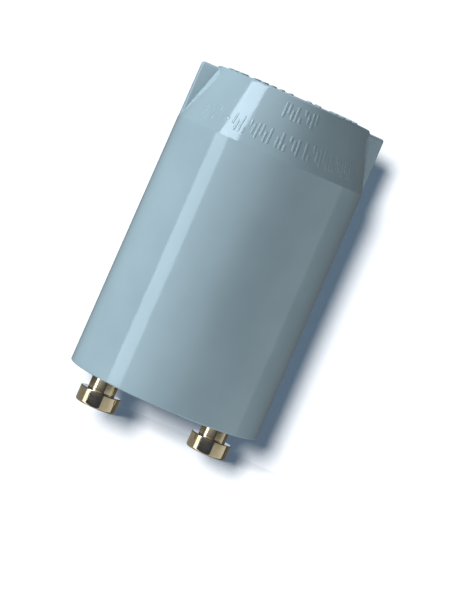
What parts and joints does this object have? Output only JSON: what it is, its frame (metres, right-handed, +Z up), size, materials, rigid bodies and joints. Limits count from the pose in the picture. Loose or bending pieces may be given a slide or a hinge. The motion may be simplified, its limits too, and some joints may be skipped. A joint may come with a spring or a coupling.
{
  "type": "fluorescent lamp starter",
  "caption": "Glow starter for a fluorescent lamp: a plastic can with a winged cone grip and mushroom-headed contact pins that twist into a lampholder.",
  "frame": {"origin": "on the can's axis, at the plane of the ends of the contact pins", "axes": "+Z up the can from the pins to the crown; the two pins and the two wings lie along X"},
  "size_m": [0.0212, 0.0212, 0.0381],
  "materials": {
    "housing_plastic": "glossy moulded slate-blue plastic",
    "base_laminate": "satin dark insulating disc",
    "pin_brass": "polished pale brass",
    "tag_brass": "rolled brass strip",
    "bulb_glass": "clear blown glass",
    "bimetal": "rolled bimetal strip",
    "electrode_nickel": "drawn nickel rod",
    "lead_wire": "tinned wire",
    "capacitor_coating": "dipped epoxy coating",
    "sleeve_plastic": "soft insulating sleeve",
    "solder": "bright solder"
  },
  "bodies": {
    "root": {"housing": "housing_plastic", "base_disc": "base_laminate", "contact_pin_left": "pin_brass", "contact_pin_right": "pin_brass", "terminal_tag_left": "tag_brass", "terminal_tag_right": "tag_brass", "glow_bulb": "bulb_glass", "bimetal_strip": "bimetal", "fixed_electrode": "electrode_nickel", "bulb_lead_left": "lead_wire", "bulb_lead_right": "lead_wire", "capacitor": "capacitor_coating", "capacitor_lead_left": "lead_wire", "capacitor_lead_right": "lead_wire", "lead_sleeve_left": "sleeve_plastic", "lead_sleeve_right": "sleeve_plastic", "solder_joint_left": "solder", "solder_joint_right": "solder"}
  },
  "joints": []
}
